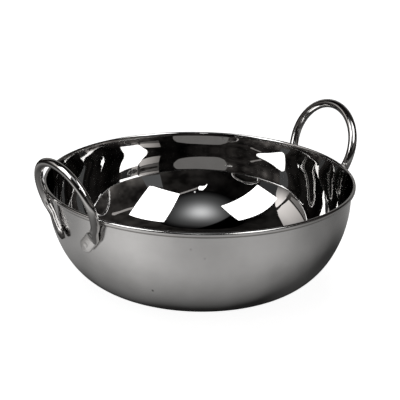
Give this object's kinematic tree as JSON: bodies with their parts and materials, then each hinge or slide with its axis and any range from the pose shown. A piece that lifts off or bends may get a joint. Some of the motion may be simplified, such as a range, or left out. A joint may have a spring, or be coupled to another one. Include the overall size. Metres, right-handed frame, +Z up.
{
  "type": "round loop-handled pan",
  "caption": "Round deep steel pan with a flat base, flared wall and rolled rim, and leaning loop handles of bent rod whose flattened feet are spot-welded to the wall.",
  "frame": {"origin": "middle of the flat base, on the surface the pan stands on", "axes": "+Z up, the bowl's axis; +X along the line through both handles, from the left handle to the right; +Y to the back"},
  "size_m": [0.3194, 0.28, 0.1452],
  "materials": {
    "bowl_steel": "stainless steel, mirror-polished inside and finely satin-polished outside",
    "handle_steel": "polished stainless steel rod",
    "weld_metal": "bare spot-weld metal between foot and wall"
  },
  "bodies": {
    "root": {"bowl": "bowl_steel", "handle_left": "handle_steel", "handle_right": "handle_steel", "weld_left_front": "weld_metal", "weld_left_back": "weld_metal", "weld_right_front": "weld_metal", "weld_right_back": "weld_metal"}
  },
  "joints": []
}
